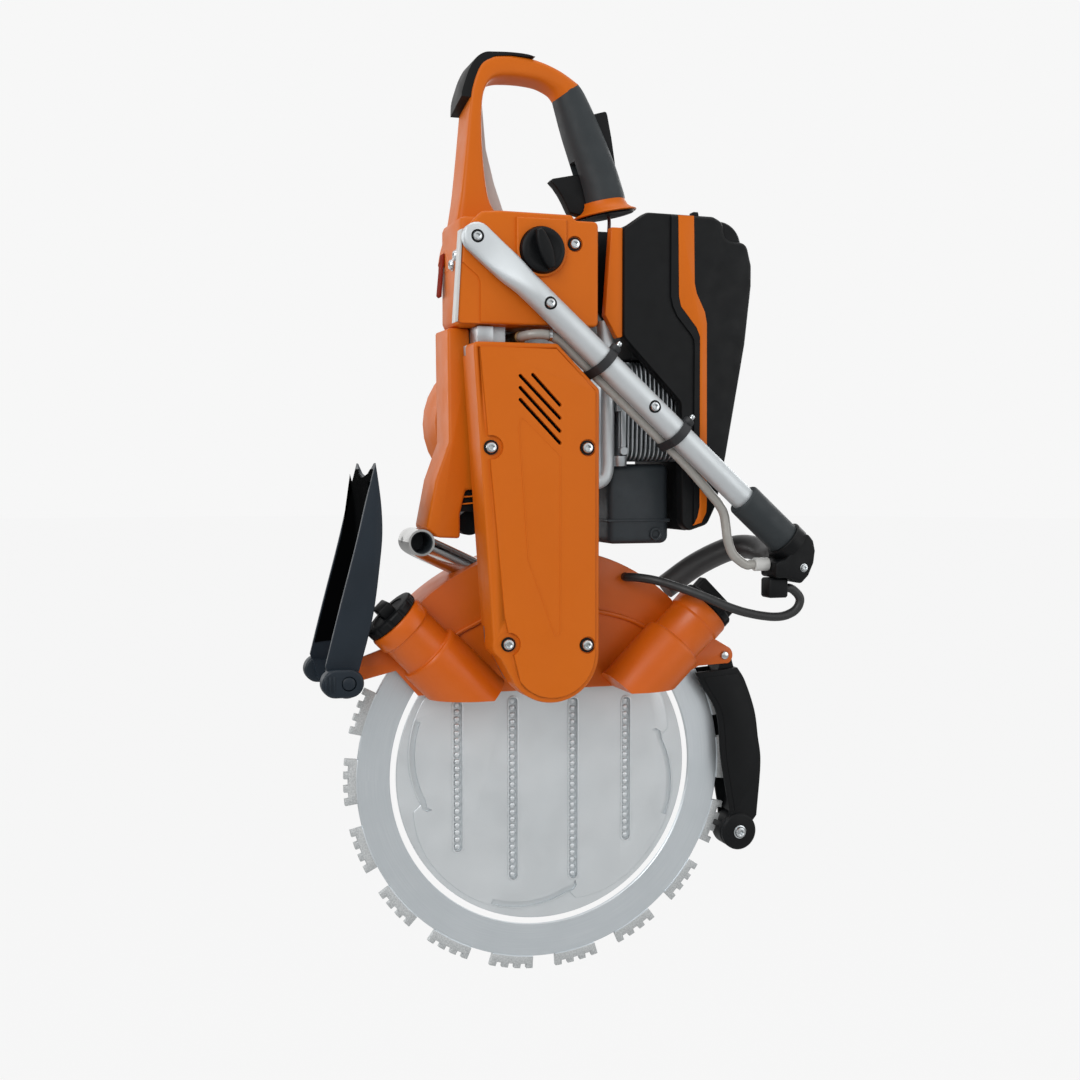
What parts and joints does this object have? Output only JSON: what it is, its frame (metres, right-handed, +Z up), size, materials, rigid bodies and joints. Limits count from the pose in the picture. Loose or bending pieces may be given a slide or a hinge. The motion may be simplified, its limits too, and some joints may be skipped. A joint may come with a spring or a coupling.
{
  "type": "petrol ring saw",
  "caption": "Hand-held petrol rescue saw with a rim-driven ring blade, belt drive, splash guards, loop rear handle and tube front handle.",
  "frame": {"origin": "middle of the flat under the rear handle's top, where a hook holds the hanging saw", "axes": "+Z up along the saw from blade to rear handle, +X to the engine side, +Y away from the belt cover"},
  "size_m": [0.442, 0.2104, 0.8302],
  "materials": {
    "orange_plastic": "satin moulded plastic",
    "orange_casting": "orange paint on a light casting",
    "black_plastic": "fine grain",
    "navy_plastic": "fine grain",
    "red_plastic": "satin",
    "dark_rubber": "matt",
    "black_rubber": "matt",
    "bare_alloy": "cast",
    "alloy_tube": "drawn, satin",
    "steel": "ground",
    "black_steel": "heat-proof paint",
    "hose_plastic": "clear hose, dull",
    "brass_fitting": "dull",
    "filter_paper": "pleated paper",
    "cable_sheath": "satin"
  },
  "bodies": {
    "saw": {"air_filter": "filter_paper", "belt_cover": "orange_plastic", "blade_guard": "orange_casting", "centre_disc": "steel", "crankcase": "bare_alloy", "cross_bar": "black_rubber", "cutting_arm": "bare_alloy", "cylinder": "bare_alloy", "drive_belt": "black_rubber", "filter_base": "black_plastic", "filter_cover": "black_plastic", "foot_tube": "alloy_tube", "front_guard_screw": "steel", "front_handle_tube": "alloy_tube", "front_sleeve": "dark_rubber", "handle_bumper": "black_plastic", "handle_clamp": "black_plastic", "hose_elbow": "hose_plastic", "hose_nipple": "brass_fitting", "hose_strap_1": "black_rubber", "hose_strap_2": "black_rubber", "inlet_pipe": "bare_alloy", "muffler": "black_steel", "rear_guard_pin": "navy_plastic", "rear_handle": "orange_plastic", "roller_cover": "orange_casting", "rubber_grip": "dark_rubber", "shaft_bearing": "steel", "side_panel": "orange_plastic", "spray_hose": "black_rubber", "starter_housing": "orange_plastic", "tank_housing": "orange_plastic", "tank_panel": "orange_plastic", "throttle_cable": "cable_sheath", "underside_flap": "red_plastic", "underside_shell": "orange_plastic", "water_hose": "hose_plastic", "water_valve": "black_plastic"},
    "ring": {"ring_blade": "steel"},
    "drive": {"drive_wheel": "dark_rubber", "drive_shaft": "steel", "drive_pulley": "steel"},
    "clutch": {"clutch_pulley": "steel"},
    "crank": {"crankshaft": "steel", "flywheel": "bare_alloy"},
    "guide_left": {"guide_roller_left": "steel"},
    "guide_right": {"guide_roller_right": "steel"},
    "plunger_left": {"plunger_left": "bare_alloy"},
    "plunger_right": {"plunger_right": "bare_alloy"},
    "support_left": {"support_roller_left": "steel"},
    "support_right": {"support_roller_right": "steel"},
    "knob_left": {"adjuster_knob_left": "black_plastic"},
    "knob_right": {"adjuster_knob_right": "black_plastic"},
    "cap": {"fuel_cap": "black_plastic"},
    "trigger": {"throttle_trigger": "black_plastic"},
    "lock": {"trigger_lock": "black_plastic"},
    "front_guard": {"front_guard": "black_plastic"},
    "guard_roller": {"front_guard_roller": "black_rubber"},
    "rear_guard": {"rear_guard": "navy_plastic"},
    "starter": {"starter_grip": "black_plastic"}
  },
  "joints": [
    {"name": "ring_spin", "type": "hinge", "parent": "saw", "child": "ring", "pos_m": [0.032, 0.008, -0.6185], "axis": [0, 1, 0], "continuous": true},
    {"name": "drive_spin", "type": "hinge", "parent": "saw", "child": "drive", "pos_m": [0.013, 0.008, -0.5015], "axis": [0, 1, 0], "continuous": true},
    {"name": "clutch_spin", "type": "hinge", "parent": "saw", "child": "clutch", "pos_m": [0.013, 0.008, -0.3005], "axis": [0, 1, 0], "continuous": true},
    {"name": "crank_spin", "type": "hinge", "parent": "saw", "child": "crank", "pos_m": [0.013, 0.008, -0.3005], "axis": [0, 1, 0], "continuous": true},
    {"name": "guide_left_spin", "type": "hinge", "parent": "saw", "child": "guide_left", "pos_m": [-0.06134, 0.008, -0.52516], "axis": [0, 1, 0], "continuous": true},
    {"name": "guide_right_spin", "type": "hinge", "parent": "saw", "child": "guide_right", "pos_m": [0.12534, 0.008, -0.52516], "axis": [0, 1, 0], "continuous": true},
    {"name": "plunger_left_slide", "type": "slide", "parent": "saw", "child": "plunger_left", "axis": [-0.7071, 0, 0.7071], "range_m": [-0.003, 0], "stiffness_N_per_m": 6000, "springref_m": 0.002},
    {"name": "plunger_right_slide", "type": "slide", "parent": "saw", "child": "plunger_right", "axis": [0.7071, 0, 0.7071], "range_m": [-0.003, 0], "stiffness_N_per_m": 6000, "springref_m": 0.002},
    {"name": "support_left_spin", "type": "hinge", "parent": "plunger_left", "child": "support_left", "pos_m": [-0.06134, 0.008, -0.52516], "axis": [0, 1, 0], "continuous": true},
    {"name": "support_right_spin", "type": "hinge", "parent": "plunger_right", "child": "support_right", "pos_m": [0.12534, 0.008, -0.52516], "axis": [0, 1, 0], "continuous": true},
    {"name": "knob_left_turn", "type": "hinge", "parent": "saw", "child": "knob_left", "pos_m": [-0.11388, -0.023, -0.47262], "axis": [-0.7071, 0, 0.7071], "range_deg": [0, 90]},
    {"name": "knob_right_turn", "type": "hinge", "parent": "saw", "child": "knob_right", "pos_m": [0.17788, -0.023, -0.47262], "axis": [0.7071, 0, 0.7071], "range_deg": [0, 90]},
    {"name": "cap_turn", "type": "hinge", "parent": "saw", "child": "cap", "pos_m": [0.006, -0.0653, -0.1585], "axis": [0, -1, 0], "range_deg": [0, 90]},
    {"name": "trigger_pull", "type": "hinge", "parent": "saw", "child": "trigger", "pos_m": [0.0745, 0, -0.1117], "axis": [0, 1, 0], "range_deg": [0, 14], "stiffness_Nm_per_rad": 0.5, "springref_deg": -11.46},
    {"name": "lock_press", "type": "hinge", "parent": "saw", "child": "lock", "pos_m": [0.089, 0, -0.0715], "axis": [0, -1, 0], "range_deg": [0, 10], "stiffness_Nm_per_rad": 0.4, "springref_deg": -11.46},
    {"name": "front_guard_swing", "type": "hinge", "parent": "saw", "child": "front_guard", "pos_m": [0.208, 0.008, -0.5195], "axis": [0, -1, 0], "range_deg": [0, 80]},
    {"name": "guard_roller_spin", "type": "hinge", "parent": "front_guard", "child": "guard_roller", "pos_m": [0.223, 0.008, -0.6885], "axis": [0, 1, 0], "continuous": true},
    {"name": "rear_guard_swing", "type": "hinge", "parent": "saw", "child": "rear_guard", "pos_m": [-0.157, 0.008, -0.5235], "axis": [0, -1, 0], "range_deg": [0, 185]},
    {"name": "starter_pull", "type": "slide", "parent": "saw", "child": "starter", "axis": [1, 0, 0], "range_m": [0, 0.12], "stiffness_N_per_m": 60, "springref_m": -0.02}
  ],
  "couplings": [
    {"joint": "drive_spin", "follows": "ring_spin", "ratio": 5.7217},
    {"joint": "clutch_spin", "follows": "ring_spin", "ratio": 6.5391},
    {"joint": "guide_left_spin", "follows": "ring_spin", "ratio": 12.308},
    {"joint": "guide_right_spin", "follows": "ring_spin", "ratio": 12.308},
    {"joint": "support_left_spin", "follows": "ring_spin", "ratio": 12.308},
    {"joint": "support_right_spin", "follows": "ring_spin", "ratio": 12.308}
  ]
}
